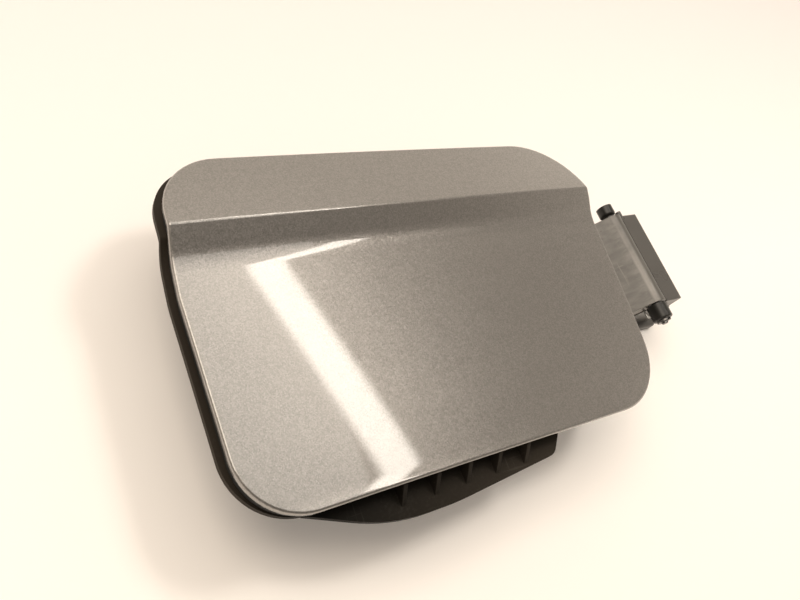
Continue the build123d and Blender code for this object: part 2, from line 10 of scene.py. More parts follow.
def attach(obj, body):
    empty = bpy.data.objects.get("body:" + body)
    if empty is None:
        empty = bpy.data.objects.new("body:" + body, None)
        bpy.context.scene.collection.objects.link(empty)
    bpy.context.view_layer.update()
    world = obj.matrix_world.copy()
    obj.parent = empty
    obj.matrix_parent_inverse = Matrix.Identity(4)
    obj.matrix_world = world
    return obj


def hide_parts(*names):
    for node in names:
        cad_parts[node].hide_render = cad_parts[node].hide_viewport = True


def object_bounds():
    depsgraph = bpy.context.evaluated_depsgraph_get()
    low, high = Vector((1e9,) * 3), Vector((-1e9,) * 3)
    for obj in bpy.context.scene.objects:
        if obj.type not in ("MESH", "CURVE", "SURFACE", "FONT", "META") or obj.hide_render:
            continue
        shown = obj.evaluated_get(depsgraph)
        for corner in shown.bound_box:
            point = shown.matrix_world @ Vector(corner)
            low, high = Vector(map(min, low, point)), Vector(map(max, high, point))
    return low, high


bl_info = {
    "name": "Car Fuel Door",
    "version": (1, 0, 0),
    "blender": (4, 5, 0),
    "location": "View3D > Sidebar > Fuel Door",
    "description": "Dresses a car fuel door: painted skin, mouldings, hinge, spring and small hardware",
    "category": "Object",
}

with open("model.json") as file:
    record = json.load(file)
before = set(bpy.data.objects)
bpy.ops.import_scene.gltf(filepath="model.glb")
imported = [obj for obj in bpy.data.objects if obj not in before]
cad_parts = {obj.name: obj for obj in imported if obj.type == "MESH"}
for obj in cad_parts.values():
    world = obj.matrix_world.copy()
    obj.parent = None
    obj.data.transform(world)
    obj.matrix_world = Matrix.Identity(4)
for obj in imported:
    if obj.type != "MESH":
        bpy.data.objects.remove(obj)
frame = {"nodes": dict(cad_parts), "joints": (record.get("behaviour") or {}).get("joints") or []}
cad_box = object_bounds()
nodes = frame["nodes"]
pivot = Vector(frame["joints"][0]["pos_m"])

# Rows of points along the skin's section, from its bottom edge to its top edge
lip_rows = 8
face_rows = 26
heel_rows = 10
ramp_rows = 8
crest_rows = 8
brow_rows = 12

# Sheet that stands past the skin's outline before it is trimmed
spare_below = 0.002
spare_above = 0.004
spare_aside = 0.02

# Steps round the outline's corners, the hem and the spring
corner_steps = 14
hem_steps = 5
wire_sides = 14
coil_steps = 96
wire_bend_steps = 6

# Distances below which points count as one
trim_tolerance = 1e-7
skin_merge = 2e-5
wire_merge = 1e-6

# Range that a noise value mostly keeps to
noise_low = 0.3
noise_high = 0.7

# Shades of a moulding as shares of its colour, and how much the wear on its edges and its scuffs count
mould_dark = 0.82
mould_light = 1.2
edge_light = 1.9
edge_share = 0.35
scuff_roughness = 0.25

# Depths of the finest relief
mould_relief = 0.00004
rubber_relief = 0.00006
tool_mark_relief = 0.00003

# Places of the painted highlight on the hinge arm's hood and of the painted sheen on its ramp, as angles
# round the pin
ridge_angle = radians(122)
ridge_none = radians(27)
ridge_full = radians(5)
ramp_start_none = radians(98)
ramp_start_full = radians(132)
ramp_end_less = radians(179)
ramp_end_full = radians(150)

# Places of a colour mix's sockets, whose names are those of its other kinds too
mix_factor, mix_first, mix_second = 0, 6, 7
mix_result = 2


class SkinSettings(bpy.types.PropertyGroup):
    """Sizes of the pressed and painted skin."""

    panel_width: FloatProperty(
        name="Panel width", description="Width at the height of the hinge",
        default=0.191, unit="LENGTH")
    panel_rise: FloatProperty(
        name="Rise", description="Top edge above the middle of the hinge",
        default=0.0583, unit="LENGTH")
    panel_drop: FloatProperty(
        name="Drop", description="Bottom edge below the middle of the hinge",
        default=0.0668, unit="LENGTH")
    right_x: FloatProperty(
        name="Hinge edge", description="Where the hinge edge stands in the frame",
        default=-0.0408, unit="LENGTH")
    right_lean: FloatProperty(
        name="Hinge edge lean", description="Slant of the hinge edge",
        default=radians(6.6), subtype="ANGLE")
    left_lean: FloatProperty(
        name="Free edge lean", description="Slant of the free edge above its bend",
        default=radians(4.9), subtype="ANGLE")
    left_bend_height: FloatProperty(
        name="Free edge bend", description="Height at which the free edge bends",
        default=0.008, unit="LENGTH")
    corner_radii: FloatVectorProperty(
        name="Corner radii", size=5, unit="LENGTH",
        description="Bottom left, bottom right, top right, top left and free edge bend",
        default=(0.0222, 0.0287, 0.0312, 0.024, 0.06))
    face_height: FloatProperty(
        name="Face height", description="Painted face above the hinge seat",
        default=0.04, unit="LENGTH")
    crown_radius: FloatProperty(
        name="Crown radius", description="Curve of the face along the car",
        default=5.65, unit="LENGTH")
    belly_radius: FloatProperty(
        name="Belly radius", description="Curve of the face up the car",
        default=3.04, unit="LENGTH")
    crease_height: FloatProperty(
        name="Crease height", description="Crease above the middle of the hinge",
        default=0.0314, unit="LENGTH")
    crease_step: FloatProperty(
        name="Crease step", description="How far the crease stands out",
        default=0.0051, unit="LENGTH")
    crease_radius: FloatProperty(
        name="Crease radius", description="Rounding of the crease",
        default=0.0022, unit="LENGTH")
    hollow_width: FloatProperty(
        name="Hollow width", description="Width of the hollow band below the crease",
        default=0.0155, unit="LENGTH")
    heel_radius: FloatProperty(
        name="Heel radius", description="Bend between the face and the hollow band",
        default=0.019, unit="LENGTH")
    lip_width: FloatProperty(
        name="Lip width", description="Strip along the bottom edge that flares outwards",
        default=0.0048, unit="LENGTH")
    lip_radius: FloatProperty(
        name="Lip radius", description="Bend of the flared strip",
        default=0.043, unit="LENGTH")
    brow_fall: FloatProperty(
        name="Brow fall", description="Slope of the strip above the crease",
        default=0.14)
    skin_thickness: FloatProperty(
        name="Sheet", description="Thickness of the sheet",
        default=0.0012, unit="LENGTH")
    hem_depth: FloatProperty(
        name="Hem depth", description="Depth of the turned-down edge",
        default=0.0022, unit="LENGTH")
    hem_radius: FloatProperty(
        name="Hem bend", description="Outer bend of the turned-down edge",
        default=0.0009, unit="LENGTH")
    crown_steps: IntProperty(
        name="Crown steps", description="Facets along the car",
        default=64, min=8)


class SpringSettings(bpy.types.PropertyGroup):
    """Sizes of the torsion spring."""

    wire_radius: FloatProperty(
        name="Wire radius", description="Radius of the drawn wire",
        default=0.0005, unit="LENGTH")
    coil_radius: FloatProperty(
        name="Coil radius", description="Radius of the coil at the wire's middle",
        default=0.0032, unit="LENGTH")
    coil_turns: FloatProperty(
        name="Turns", description="Number of turns",
        default=2.125)
    coil_start: FloatProperty(
        name="Coil start", description="Where the coil begins along the pin",
        default=-0.0278, unit="LENGTH")
    coil_room: FloatProperty(
        name="Coil room", description="Length of the coil along the pin",
        default=0.0024, unit="LENGTH")
    leg_length: FloatProperty(
        name="Leg", description="Length of the leg on the base's post",
        default=0.0125, unit="LENGTH")
    cheek_radius: FloatProperty(
        name="Cheek end radius", description="How far from the pin the end in the arm's cheek stands",
        default=0.0059, unit="LENGTH")
    cheek_reach: FloatProperty(
        name="Cheek end reach", description="Length of the end that runs along the pin",
        default=0.0078, unit="LENGTH")
    cheek_bend: FloatProperty(
        name="Cheek end bend", description="Bend of the end towards the cheek",
        default=0.0009, unit="LENGTH")
    start_angle: FloatProperty(
        name="Start angle", description="Where on the coil the cheek end stands",
        default=radians(225), subtype="ANGLE")


class FinishSettings(bpy.types.PropertyGroup):
    """Colours of the finishes and the grain of the paint."""

    paint: FloatVectorProperty(
        name="Paint", description="Metallic base coat",
        default=(0.276, 0.259, 0.241), subtype="COLOR", min=0, max=1)
    flake_scale: FloatProperty(
        name="Flake scale", description="Flakes to the metre",
        default=2300.0)
    flake_tilt: FloatProperty(
        name="Flake tilt", description="How far the flakes lean apart",
        default=0.07)
    flake_spread: FloatProperty(
        name="Flake spread", description="How much darker or lighter a flake can be",
        default=0.26)
    flake_share: FloatProperty(
        name="Flake share", description="How much the flakes count beside the paint's slow clouding",
        default=0.6)
    flake_roughness: FloatVectorProperty(
        name="Flake roughness", description="Roughness of the smoothest and the roughest flake",
        size=2, default=(0.28, 0.34))
    coat_roughness: FloatProperty(
        name="Coat roughness", description="Roughness of the clear coat",
        default=0.03)
    coat_ior: FloatProperty(
        name="Coat IOR", description="Refraction of the clear coat",
        default=1.7)
    carrier: FloatVectorProperty(
        name="Carrier", description="Black inner moulding",
        default=(0.0095, 0.0084, 0.0066), subtype="COLOR", min=0, max=1)
    # Painted light: the carrier is drawn paler towards its free end and towards its hinge end, where more
    # light falls from that side
    faded: FloatVectorProperty(
        name="Faded carrier", description="Carrier where sun has faded it",
        default=(0.042, 0.034, 0.026), subtype="COLOR", min=0, max=1)
    faded_ends: FloatVectorProperty(
        name="Faded ends", size=4, unit="LENGTH",
        description="Where the carrier is fully faded and not yet faded, at the free end and the hinge end",
        default=(-0.229, -0.212, -0.2, -0.085))
    arm_grey: FloatVectorProperty(
        name="Hinge arm", description="Grey hinge arm",
        default=(0.1, 0.094, 0.085), subtype="COLOR", min=0, max=1)
    base_grey: FloatVectorProperty(
        name="Hinge base", description="Darker hinge base",
        default=(0.085, 0.08, 0.073), subtype="COLOR", min=0, max=1)
    # Painted highlight: the pale colour laid along the hinge arm's hood and ramp where light catches them
    polished: FloatVectorProperty(
        name="Rubbed arm", description="Hinge arm where it is rubbed pale",
        default=(0.5, 0.47, 0.43), subtype="COLOR", min=0, max=1)
    pivot_black: FloatVectorProperty(
        name="Pivot pieces", description="Brownish black pin cap and spring spool",
        default=(0.013, 0.0118, 0.0098), subtype="COLOR", min=0, max=1)
    scuffed: FloatVectorProperty(
        name="Scuffs", description="Rubbed lines on the mouldings",
        default=(0.32, 0.3, 0.27), subtype="COLOR", min=0, max=1)
    dust: FloatVectorProperty(
        name="Dust", description="Dust on the mouldings",
        default=(0.42, 0.39, 0.34), subtype="COLOR", min=0, max=1)
    rubber: FloatVectorProperty(
        name="Rubber", description="Seal and buffers",
        default=(0.009, 0.0088, 0.0085), subtype="COLOR", min=0, max=1)
    rubber_dust: FloatVectorProperty(
        name="Dust on rubber", description="Dust on the seal and the buffers",
        default=(0.2, 0.185, 0.16), subtype="COLOR", min=0, max=1)
    bearing: FloatVectorProperty(
        name="Bearing plastic", description="Bushes and washers",
        default=(0.62, 0.6, 0.54), subtype="COLOR", min=0, max=1)
    grease: FloatVectorProperty(
        name="Grease", description="Grey grease on the bushes and washers",
        default=(0.24, 0.22, 0.18), subtype="COLOR", min=0, max=1)
    zinc: FloatVectorProperty(
        name="Zinc", description="Plated screws",
        default=(0.56, 0.56, 0.54), subtype="COLOR", min=0, max=1)
    steel: FloatVectorProperty(
        name="Steel", description="Pin and clip, blackened",
        default=(0.2, 0.195, 0.19), subtype="COLOR", min=0, max=1)
    wire: FloatVectorProperty(
        name="Spring wire", description="Drawn spring wire",
        default=(0.5, 0.5, 0.49), subtype="COLOR", min=0, max=1)
    brass: FloatVectorProperty(
        name="Brass", description="Threaded inserts",
        default=(0.62, 0.43, 0.16), subtype="COLOR", min=0, max=1)


class StageSettings(bpy.types.PropertyGroup):
    """Floor, lamps and camera."""

    floor: FloatVectorProperty(
        name="Floor", description="Pale table top",
        default=(0.93, 0.878, 0.828), subtype="COLOR", min=0, max=1)
    # Painted shade: the table top is coloured darker beyond the door
    floor_far: FloatVectorProperty(
        name="Far floor", description="Table top beyond the door",
        default=(0.7, 0.655, 0.635), subtype="COLOR", min=0, max=1)
    floor_change: FloatVectorProperty(
        name="Floor change", description="Where the table top's colour begins and ends to change",
        size=2, unit="LENGTH", default=(0.0, 0.25))
    floor_size: FloatProperty(
        name="Floor size", description="Side of the table top",
        default=9.0, unit="LENGTH")
    floor_gap: FloatProperty(
        name="Floor gap", description="Table top below the hinge seat",
        default=0.0002, unit="LENGTH")
    floor_lift: FloatProperty(
        name="Floor lift", description="White added to the table top as the camera and reflections see it",
        default=0.1)
    lamp: FloatVectorProperty(
        name="Lamp colour", description="Warm white",
        default=(1.0, 0.955, 0.88), subtype="COLOR", min=0, max=1)
    overhead_power: FloatProperty(
        name="Overhead lamp", description="Power of the broad lamp overhead",
        default=4.5, unit="POWER")
    overhead_place: FloatVectorProperty(
        name="Overhead place", description="Middle of the broad lamp overhead",
        default=(0.14, 0.58, 1.54), subtype="TRANSLATION", unit="LENGTH")
    overhead_size: FloatVectorProperty(
        name="Overhead size", description="Sides of the broad lamp overhead",
        size=2, default=(0.88, 1.44), unit="LENGTH")
    left_power: FloatProperty(
        name="Left lamp", description="Power of the lamp above the free edge",
        default=16.0, unit="POWER")
    left_place: FloatVectorProperty(
        name="Left place", description="Middle of the lamp above the free edge",
        default=(-0.9, 0.6, 1.54), subtype="TRANSLATION", unit="LENGTH")
    left_size: FloatVectorProperty(
        name="Left size", description="Sides of the lamp above the free edge",
        size=2, default=(1.2, 1.2), unit="LENGTH")
    key_power: FloatProperty(
        name="Key lamp", description="Power of the small lamp that casts the shadow",
        default=6.6, unit="POWER")
    key_place: FloatVectorProperty(
        name="Key place", description="Middle of the small lamp that casts the shadow",
        default=(0.616, 0.274, 1.406), subtype="TRANSLATION", unit="LENGTH")
    key_turn: FloatVectorProperty(
        name="Key turn", description="Turn of the small lamp that casts the shadow",
        default=(radians(30), 0.0, radians(110)), subtype="EULER", unit="ROTATION")
    key_size: FloatVectorProperty(
        name="Key size", description="Sides of the small lamp that casts the shadow",
        size=2, default=(0.3, 0.3), unit="LENGTH")
    strip_level: FloatProperty(
        name="Strip lamp", description="Brightness of the narrow lamp that shows in the paint",
        default=9.2)
    strip_tint: FloatVectorProperty(
        name="Strip colour", description="Warm white of the strip lamp",
        default=(1.0, 0.92, 0.82), subtype="COLOR", min=0, max=1)
    strip_place: FloatVectorProperty(
        name="Strip place", description="Middle of the strip lamp",
        default=(0.55, 0.54, 1.5), subtype="TRANSLATION", unit="LENGTH")
    strip_turn: FloatProperty(
        name="Strip turn", description="Turn of the strip lamp about the upright",
        default=radians(14.1), subtype="ANGLE")
    strip_half_width: FloatProperty(
        name="Strip half width", description="Half the width of the strip lamp",
        default=0.08, unit="LENGTH")
    strip_half_length: FloatProperty(
        name="Strip half length", description="Half the length of the strip lamp",
        default=0.53, unit="LENGTH")
    strip_softness: FloatProperty(
        name="Strip softness", description="Width of the strip lamp's soft sides",
        default=0.045, unit="LENGTH")
    camera_lens: FloatProperty(
        name="Lens", description="Focal length in millimetres",
        default=34.683, unit="CAMERA")
    camera_place: FloatVectorProperty(
        name="Camera place", description="Where the camera stands",
        default=(-0.306946, -0.093564, 0.250662), subtype="TRANSLATION", unit="LENGTH")
    camera_right: FloatVectorProperty(
        name="Camera right", description="Direction to the right of the picture",
        default=(0.8213, -0.36611, 0.43753), subtype="XYZ")
    camera_up: FloatVectorProperty(
        name="Camera up", description="Direction to the top of the picture",
        default=(0.14111, 0.87346, 0.466), subtype="XYZ")


class RoomSettings(bpy.types.PropertyGroup):
    """Light from the room's walls; each change runs between two parts of a direction of length one."""

    colour: FloatVectorProperty(
        name="Room colour", description="Warm light from the room's walls",
        default=(1.0, 0.89, 0.76), subtype="COLOR", min=0, max=1)
    dim: FloatProperty(
        name="Dim side", description="Light from the side near the camera",
        default=0.26)
    dim_change: FloatVectorProperty(
        name="Dim side change", description="Y from the dim side to the middle",
        size=2, default=(-0.6, -0.2))
    middle: FloatProperty(
        name="Middle", description="Light between the dim and the bright side",
        default=0.3)
    bright: FloatProperty(
        name="Bright side", description="Light from beyond the top edge",
        default=0.82)
    bright_change: FloatVectorProperty(
        name="Bright side change", description="Y from the middle to the bright side",
        size=2, default=(0.28, 0.54))
    side: FloatProperty(
        name="Hinge side", description="Light from the side of the hinge",
        default=0.62)
    side_change: FloatVectorProperty(
        name="Hinge side change", description="X from the middle to the side of the hinge",
        size=2, default=(0.62, 0.86))
    low: FloatProperty(
        name="Low walls", description="Light added near the horizon",
        default=0.4)
    low_change: FloatVectorProperty(
        name="Low walls change", description="Z from the upper walls to the low ones",
        size=2, default=(0.55, 0.1))
    corner: FloatProperty(
        name="Near corner", description="Light added between the hinge side and the camera",
        default=0.17)
    corner_near: FloatVectorProperty(
        name="Near corner depth", description="Y from the hinge side to the near corner",
        size=2, default=(0.22, 0.0))
    corner_side: FloatVectorProperty(
        name="Near corner side", description="X from the middle to the near corner",
        size=2, default=(0.58, 0.76))


settings_classes = (SkinSettings, SpringSettings, FinishSettings, StageSettings, RoomSettings)


def place_piece(work, name, body, material):
    """Makes an object of a finished bmesh, gives it its finish and lets it ride a body."""
    if not work.faces:
        raise RuntimeError(f"{name} has no faces")
    mesh = bpy.data.meshes.new(name)
    work.to_mesh(mesh)
    work.free()
    for polygon in mesh.polygons:
        polygon.use_smooth = True
    piece = bpy.data.objects.new(name, mesh)
    bpy.context.scene.collection.objects.link(piece)
    mesh.materials.append(material)
    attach(piece, body)
    return piece


def dress(material, *names):
    """Gives CAD nodes a finish."""
    for name in names:
        data = nodes[name].data
        data.materials.clear()
        data.materials.append(material)


def verts_of(parts):
    """The vertices among the parts that a bmesh operator gives back."""
    return [part for part in parts if isinstance(part, bmesh.types.BMVert)]


def edges_of(parts):
    """The edges among the parts that a bmesh operator gives back."""
    return [part for part in parts if isinstance(part, bmesh.types.BMEdge)]


def open_edges(work):
    """The edges that only one face has."""
    return [edge for edge in work.edges if edge.is_boundary]


def start_material(name):
    """A material with an empty Principled surface and Object coordinates."""
    material = bpy.data.materials.new(name)
    material.use_nodes = True
    tree = material.node_tree
    tree.nodes.clear()
    output = tree.nodes.new("ShaderNodeOutputMaterial")
    surface = tree.nodes.new("ShaderNodeBsdfPrincipled")
    coords = tree.nodes.new("ShaderNodeTexCoord")
    tree.links.new(surface.outputs["BSDF"], output.inputs["Surface"])
    return material, tree, surface, coords.outputs["Object"]


def start_group(name, inputs, outputs):
    """A shader node group with named sockets, each given with its kind."""
    group = bpy.data.node_groups.new(name, "ShaderNodeTree")
    for socket, kind in inputs.items():
        group.interface.new_socket(name=socket, in_out="INPUT", socket_type=kind)
    for socket, kind in outputs.items():
        group.interface.new_socket(name=socket, in_out="OUTPUT", socket_type=kind)
    entry = group.nodes.new("NodeGroupInput")
    leave = group.nodes.new("NodeGroupOutput")
    return group, entry.outputs, leave.inputs


def place_group(tree, maker, **values):
    """A group that is built once, by the function of its name, and placed with its own values."""
    node = tree.nodes.new("ShaderNodeGroup")
    node.node_tree = bpy.data.node_groups.get(maker.__name__) or maker()
    for name, value in values.items():
        feed(tree, node.inputs[name], value)
    return node.outputs


def feed(tree, socket, value):
    """Links a socket to another one, or sets its own value."""
    if isinstance(value, bpy.types.NodeSocket):
        tree.links.new(value, socket)
    else:
        socket.default_value = value


def noise(tree, vector, scale, detail=2.0, roughness=0.5, distortion=0.0):
    """A noise value from 0 to 1."""
    node = tree.nodes.new("ShaderNodeTexNoise")
    feed(tree, node.inputs["Vector"], vector)
    feed(tree, node.inputs["Scale"], scale)
    feed(tree, node.inputs["Detail"], detail)
    feed(tree, node.inputs["Roughness"], roughness)
    feed(tree, node.inputs["Distortion"], distortion)
    return node.outputs["Fac"]


def remap(tree, value, low, high, to_low=0.0, to_high=1.0, smooth=False):
    """A value moved from one range to another, where it stops at the ends."""
    node = tree.nodes.new("ShaderNodeMapRange")
    if smooth:
        node.interpolation_type = "SMOOTHSTEP"
    feed(tree, node.inputs["Value"], value)
    feed(tree, node.inputs["From Min"], low)
    feed(tree, node.inputs["From Max"], high)
    feed(tree, node.inputs["To Min"], to_low)
    feed(tree, node.inputs["To Max"], to_high)
    return node.outputs["Result"]


def calculate(tree, operation, *values):
    """The result of a sum on one or two values."""
    node = tree.nodes.new("ShaderNodeMath")
    node.operation = operation
    for socket, value in zip(node.inputs, values):
        feed(tree, socket, value)
    return node.outputs["Value"]


def combine(tree, operation, *vectors):
    """The results of a sum on vectors."""
    node = tree.nodes.new("ShaderNodeVectorMath")
    node.operation = operation
    for socket, vector in zip(node.inputs, vectors):
        feed(tree, socket, vector)
    return node.outputs


def split(tree, vector):
    """The X, Y and Z of a vector."""
    node = tree.nodes.new("ShaderNodeSeparateXYZ")
    feed(tree, node.inputs["Vector"], vector)
    return node.outputs


def stretched(tree, vector, stretch, turn=(0.0, 0.0, 0.0)):
    """Coordinates for a pattern that runs in one direction."""
    node = tree.nodes.new("ShaderNodeMapping")
    feed(tree, node.inputs["Vector"], vector)
    feed(tree, node.inputs["Rotation"], turn)
    feed(tree, node.inputs["Scale"], stretch)
    return node.outputs["Vector"]


def mix_colour(tree, factor, first, second):
    """Two colours mixed by a factor."""
    node = tree.nodes.new("ShaderNodeMix")
    node.data_type = "RGBA"
    feed(tree, node.inputs[mix_factor], factor)
    feed(tree, node.inputs[mix_first], first)
    feed(tree, node.inputs[mix_second], second)
    return node.outputs[mix_result]


def opaque(colour, share=1.0):
    """A colour as four numbers, made darker or lighter by a share."""
    return (colour[0] * share, colour[1] * share, colour[2] * share, 1.0)


def shaded(tree, factor, colour, dark, light):
    """A colour that changes between two shares of itself."""
    return mix_colour(tree, factor, opaque(colour, dark), opaque(colour, light))


def bump(tree, height, strength, distance, normal=None):
    """A normal that follows a height, on top of another normal where one is given."""
    node = tree.nodes.new("ShaderNodeBump")
    feed(tree, node.inputs["Height"], height)
    feed(tree, node.inputs["Strength"], strength)
    feed(tree, node.inputs["Distance"], distance)
    if normal is not None:
        feed(tree, node.inputs["Normal"], normal)
    return node.outputs["Normal"]


def moulded_grain():
    """Fine spark-eroded grain of a mould, with slow unevenness."""
    group, entry, leave = start_group(
        "moulded_grain",
        {"Vector": "NodeSocketVector", "Scale": "NodeSocketFloat"},
        {"Height": "NodeSocketFloat", "Unevenness": "NodeSocketFloat"})
    fine = noise(group, entry["Vector"], scale=entry["Scale"], detail=3.0, roughness=0.6)
    slow = noise(group, entry["Vector"], scale=38.0, detail=3.0, roughness=0.55)
    feed(group, leave["Height"], fine)
    feed(group, leave["Unevenness"], slow)
    return group


def scuffs():
    """Thin rubbed lines in two directions, broken into patches."""
    group, entry, leave = start_group(
        "scuffs",
        {"Vector": "NodeSocketVector", "Amount": "NodeSocketFloat"},
        {"Mask": "NodeSocketFloat"})
    masks = []
    for turn, stretch in ((0.5, (30.0, 900.0, 240.0)), (-0.9, (820.0, 42.0, 300.0))):
        run = stretched(group, entry["Vector"], stretch, turn=(0.0, 0.2, turn))
        masks.append(remap(group, noise(group, run, scale=1.0), low=0.66, high=0.74))
    patches = remap(group, noise(group, entry["Vector"], scale=55.0), low=0.48, high=0.62)
    shown = calculate(group, "MULTIPLY", calculate(group, "MAXIMUM", *masks), patches)
    feed(group, leave["Mask"], calculate(group, "MULTIPLY", shown, entry["Amount"]))
    return group


def settled_dust():
    """Dust that settles on faces that look up, gathered in soft specks."""
    group, entry, leave = start_group(
        "settled_dust",
        {"Vector": "NodeSocketVector", "Amount": "NodeSocketFloat"},
        {"Mask": "NodeSocketFloat"})
    face = group.nodes.new("ShaderNodeNewGeometry")
    upward = remap(group, split(group, face.outputs["Normal"])["Z"], low=0.1, high=0.95)
    specks = noise(group, entry["Vector"], scale=900.0, detail=4.0, roughness=0.65)
    fine = remap(group, specks, low=0.5, high=0.75)
    broad = remap(group, noise(group, entry["Vector"], scale=42.0), low=0.35, high=0.7)
    settled = calculate(group, "MULTIPLY", calculate(group, "MULTIPLY", fine, broad), upward)
    feed(group, leave["Mask"], calculate(group, "MULTIPLY", settled, entry["Amount"]))
    return group


def soft_edges():
    """Edges rounded by a small radius, and a mask where the rounding shows."""
    group, entry, leave = start_group(
        "soft_edges",
        {"Radius": "NodeSocketFloat"},
        {"Normal": "NodeSocketVector", "Mask": "NodeSocketFloat"})
    rounded = group.nodes.new("ShaderNodeBevel")
    rounded.samples = 6
    feed(group, rounded.inputs["Radius"], entry["Radius"])
    face = group.nodes.new("ShaderNodeNewGeometry")
    alike = combine(group, "DOT_PRODUCT", rounded.outputs["Normal"], face.outputs["Normal"])["Value"]
    feed(group, leave["Normal"], rounded.outputs["Normal"])
    feed(group, leave["Mask"], remap(group, alike, low=0.995, high=0.86))
    return group


def painted_ridge_highlight():
    """Painted highlight along the rounded hood and painted sheen on the ramp, broken into smears, found by
    their angle round the pin.
    """
    group, entry, leave = start_group(
        "painted_ridge_highlight",
        {"Vector": "NodeSocketVector", "Amount": "NodeSocketFloat"},
        {"Mask": "NodeSocketFloat"})
    place = split(group, entry["Vector"])
    across = calculate(group, "SUBTRACT", place["X"], pivot.x)
    above = calculate(group, "SUBTRACT", place["Z"], pivot.z)
    angle = calculate(group, "ABSOLUTE", calculate(group, "ARCTAN2", above, across))
    off = calculate(group, "ABSOLUTE", calculate(group, "SUBTRACT", angle, ridge_angle))
    band = remap(group, off, ridge_none, ridge_full, smooth=True)
    along = remap(group, place["Y"], low=0.024, high=-0.016, to_low=0.5)
    cloud = noise(group, entry["Vector"], scale=130.0, detail=3.0, roughness=0.6)
    patchy = remap(group, cloud, low=0.3, high=0.6, to_low=0.55)
    # Painted highlight along the hood, patchy and weaker towards the arm's +Y end
    ridge = calculate(group, "MULTIPLY", calculate(group, "MULTIPLY", band, patchy), along)
    # Painted sheen on the ramp, fuller near the hood and less near the panel's edge, broken into smears
    begun = remap(group, angle, ramp_start_none, ramp_start_full)
    ended = remap(group, angle, ramp_end_less, ramp_end_full, to_low=0.55)
    ramp = calculate(group, "MULTIPLY", begun, ended)
    slant = stretched(group, entry["Vector"], (90.0, 320.0, 150.0), turn=(0.0, 0.0, 0.6))
    smear = noise(group, slant, scale=1.0, detail=4.0, roughness=0.65, distortion=0.4)
    smeared = calculate(
        group, "MULTIPLY", ramp, remap(group, smear, low=0.34, high=0.72, to_low=0.1, to_high=0.62))
    highlight_and_smears = calculate(group, "MAXIMUM", ridge, smeared)
    feed(group, leave["Mask"], calculate(group, "MULTIPLY", highlight_and_smears, entry["Amount"]))
    return group


def flake_paint(finish):
    """Fine metallic flakes, each tilted a little and of its own brightness, under a smooth clear coat."""
    material, tree, surface, vector = start_material("flake_paint")
    flakes = tree.nodes.new("ShaderNodeTexVoronoi")
    feed(tree, flakes.inputs["Vector"], vector)
    feed(tree, flakes.inputs["Scale"], finish.flake_scale)
    chip = tree.nodes.new("ShaderNodeSeparateColor")
    feed(tree, chip.inputs["Color"], flakes.outputs["Color"])
    lean = combine(tree, "MULTIPLY_ADD", flakes.outputs["Color"],
                   [finish.flake_tilt] * 3, [-finish.flake_tilt / 2] * 3)["Vector"]
    face = tree.nodes.new("ShaderNodeNewGeometry")
    turned = combine(tree, "ADD", face.outputs["Normal"], lean)["Vector"]
    feed(tree, surface.inputs["Normal"], combine(tree, "NORMALIZE", turned)["Vector"])
    flop = noise(tree, vector, scale=60.0, detail=3.0, roughness=0.6)
    clouded = shaded(tree, flop, finish.paint, dark=0.96, light=1.04)
    glints = shaded(tree, chip.outputs["Blue"], finish.paint,
                    dark=1 - finish.flake_spread, light=1 + finish.flake_spread)
    feed(tree, surface.inputs["Base Color"], mix_colour(tree, finish.flake_share, clouded, glints))
    feed(tree, surface.inputs["Metallic"], 0.9)
    rough = remap(tree, chip.outputs["Green"], 0.0, 1.0, *finish.flake_roughness)
    feed(tree, surface.inputs["Roughness"], rough)
    feed(tree, surface.inputs["Coat Weight"], 1.0)
    feed(tree, surface.inputs["Coat Roughness"], finish.coat_roughness)
    feed(tree, surface.inputs["Coat IOR"], finish.coat_ior)
    return material


def moulded_plastic(name, colour, finish, roughness, grain, edge, wear, dust,
                    shine=0.5, rubbed=0.0, faded=False):
    """Injection-moulded plastic with grain, rounded edges, rubbed lines and a little dust; where asked,
    painted light too: paler ends and a painted highlight along the ridge.
    """
    material, tree, surface, vector = start_material(name)
    mould = place_group(tree, moulded_grain, Vector=vector, Scale=grain)
    edges = place_group(tree, soft_edges, Radius=edge)
    lines = place_group(tree, scuffs, Vector=vector, Amount=wear)["Mask"]
    settled = place_group(tree, settled_dust, Vector=vector, Amount=dust)["Mask"]
    cover = shaded(tree, mould["Unevenness"], colour, mould_dark, mould_light)
    # Painted light: paler towards the free end and the hinge end
    if faded:
        free_full, free_none, hinge_none, hinge_full = finish.faded_ends
        along = split(tree, vector)["X"]
        ends = calculate(tree, "MAXIMUM", remap(tree, along, free_none, free_full),
                         remap(tree, along, hinge_none, hinge_full))
        cover = mix_colour(tree, ends, cover, opaque(finish.faded))
    cover = mix_colour(
        tree, calculate(tree, "MULTIPLY", edges["Mask"], edge_share), cover, opaque(colour, edge_light))
    cover = mix_colour(tree, lines, cover, opaque(finish.scuffed))
    cover = mix_colour(tree, settled, cover, opaque(finish.dust))
    # Painted highlight and sheen along the hinge arm's ridge and ramp
    if rubbed:
        ridge = place_group(tree, painted_ridge_highlight, Vector=vector, Amount=rubbed)["Mask"]
        cover = mix_colour(tree, ridge, cover, opaque(finish.polished))
    feed(tree, surface.inputs["Base Color"], cover)
    feed(tree, surface.inputs["Specular IOR Level"], shine)
    gloss = remap(tree, mould["Unevenness"], noise_low, noise_high, roughness * 0.85, roughness * 1.15)
    rough = calculate(tree, "ADD", gloss, calculate(tree, "MULTIPLY", lines, scuff_roughness))
    feed(tree, surface.inputs["Roughness"], rough)
    relief = bump(tree, mould["Height"], strength=0.35, distance=mould_relief, normal=edges["Normal"])
    feed(tree, surface.inputs["Normal"], relief)
    return material


